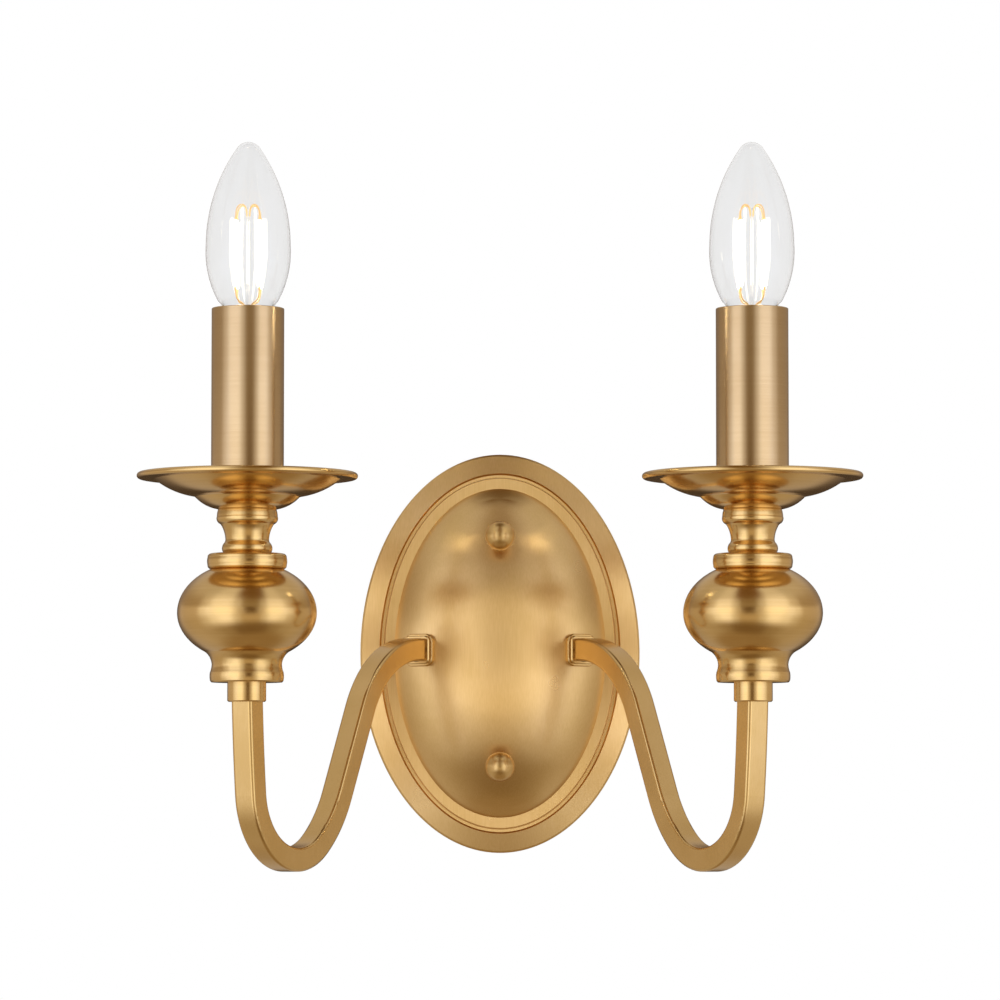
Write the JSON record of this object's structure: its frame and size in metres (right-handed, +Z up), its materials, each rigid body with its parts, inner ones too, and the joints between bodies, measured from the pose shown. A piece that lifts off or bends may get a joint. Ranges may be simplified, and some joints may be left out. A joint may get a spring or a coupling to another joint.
{
  "type": "double arm wall sconce",
  "caption": "Wall sconce with an oval domed back plate and a bent square arm on each side, each holding a turned knop, a drip pan, a candle tube and a candle-shaped lamp.",
  "frame": {"origin": "middle of the wall screw pattern, on the wall plane behind the middle of the oval back plate", "axes": "+X to the right seen from the room, +Y into the wall, +Z up"},
  "size_m": [0.2996, 0.1828, 0.3017],
  "materials": {
    "satin_brass": "satin, brushed and lightly aged",
    "zinc_steel": "zinc plated",
    "nickel": "nickel plated, bright",
    "clear_glass": "clear",
    "filament_coating": "glowing soft coating",
    "black_glass": "black glass insulator",
    "solder": "dull solder",
    "holder_plastic": "black thermoset",
    "block_plastic": "white thermoplastic",
    "flex_sheath": "clear to pale sleeve"
  },
  "bodies": {
    "sconce": {"back_plate": "satin_brass", "nut_seats": "satin_brass", "arm_left": "satin_brass", "arm_right": "satin_brass", "arm_ferrule_left": "satin_brass", "arm_ferrule_right": "satin_brass", "arm_collar_left": "satin_brass", "arm_collar_right": "satin_brass", "knop_left": "satin_brass", "knop_right": "satin_brass", "knop_ring_left": "satin_brass", "knop_ring_right": "satin_brass", "neck_left": "satin_brass", "neck_right": "satin_brass", "drip_pan_left": "satin_brass", "drip_pan_right": "satin_brass", "candle_tube_left": "satin_brass", "candle_tube_right": "satin_brass", "wall_bracket": "zinc_steel", "bracket_studs": "zinc_steel", "stud_lock_nuts": "zinc_steel", "earth_terminal": "zinc_steel", "terminal_screws": "zinc_steel", "arm_nipples": "zinc_steel", "arm_washers": "zinc_steel", "arm_lock_nuts": "zinc_steel", "stem_tube_left": "zinc_steel", "stem_tube_right": "zinc_steel", "stem_nut_left": "zinc_steel", "stem_nut_right": "zinc_steel", "socket_shell_left": "nickel", "socket_shell_right": "nickel", "socket_contact_left": "nickel", "socket_contact_right": "nickel", "lampholder_left": "holder_plastic", "lampholder_right": "holder_plastic", "terminal_block": "block_plastic", "arm_flex_left": "flex_sheath", "arm_flex_right": "flex_sheath"},
    "lamp_thread_left": {"lamp_contact_left": "solder", "lamp_insulator_left": "black_glass"},
    "lamp_left": {"lamp_glass_left": "clear_glass", "lamp_cap_left": "nickel", "lamp_mount_left": "clear_glass", "lamp_filaments_left": "filament_coating"},
    "lamp_thread_right": {"lamp_contact_right": "solder", "lamp_insulator_right": "black_glass"},
    "lamp_right": {"lamp_glass_right": "clear_glass", "lamp_cap_right": "nickel", "lamp_mount_right": "clear_glass", "lamp_filaments_right": "filament_coating"},
    "nut_travel_upper": {"nut_washer_upper": "satin_brass"},
    "ball_nut_upper": {"ball_nut_upper": "satin_brass"},
    "nut_travel_lower": {"nut_washer_lower": "satin_brass"},
    "ball_nut_lower": {"ball_nut_lower": "satin_brass"}
  },
  "joints": [
    {"name": "lamp_rise_left", "type": "slide", "parent": "sconce", "child": "lamp_thread_left", "axis": [0, 0, 1], "range_m": [0, 0.01131]},
    {"name": "lamp_turn_left", "type": "hinge", "parent": "lamp_thread_left", "child": "lamp_left", "pos_m": [-0.10415, -0.13718, 0.12], "axis": [0, 0, 1], "range_deg": [0, 1440]},
    {"name": "lamp_rise_right", "type": "slide", "parent": "sconce", "child": "lamp_thread_right", "axis": [0, 0, 1], "range_m": [0, 0.01131]},
    {"name": "lamp_turn_right", "type": "hinge", "parent": "lamp_thread_right", "child": "lamp_right", "pos_m": [0.10415, -0.13718, 0.12], "axis": [0, 0, 1], "range_deg": [0, 1440]},
    {"name": "nut_travel_upper", "type": "slide", "parent": "sconce", "child": "nut_travel_upper", "axis": [0, -1, 0], "range_m": [0, 0.00702]},
    {"name": "nut_turn_upper", "type": "hinge", "parent": "nut_travel_upper", "child": "ball_nut_upper", "pos_m": [0, -0.034, 0.05], "axis": [0, -1, 0], "range_deg": [0, 3600]},
    {"name": "nut_travel_lower", "type": "slide", "parent": "sconce", "child": "nut_travel_lower", "axis": [0, -1, 0], "range_m": [0, 0.00702]},
    {"name": "nut_turn_lower", "type": "hinge", "parent": "nut_travel_lower", "child": "ball_nut_lower", "pos_m": [0, -0.034, -0.05], "axis": [0, -1, 0], "range_deg": [0, 3600]}
  ],
  "couplings": [
    {"joint": "lamp_rise_left", "follows": "lamp_turn_left", "m_per_rad": 0.00044913},
    {"joint": "lamp_rise_right", "follows": "lamp_turn_right", "m_per_rad": 0.00044913},
    {"joint": "nut_travel_upper", "follows": "nut_turn_upper", "m_per_rad": 0.00011141},
    {"joint": "nut_travel_lower", "follows": "nut_turn_lower", "m_per_rad": 0.00011141}
  ]
}
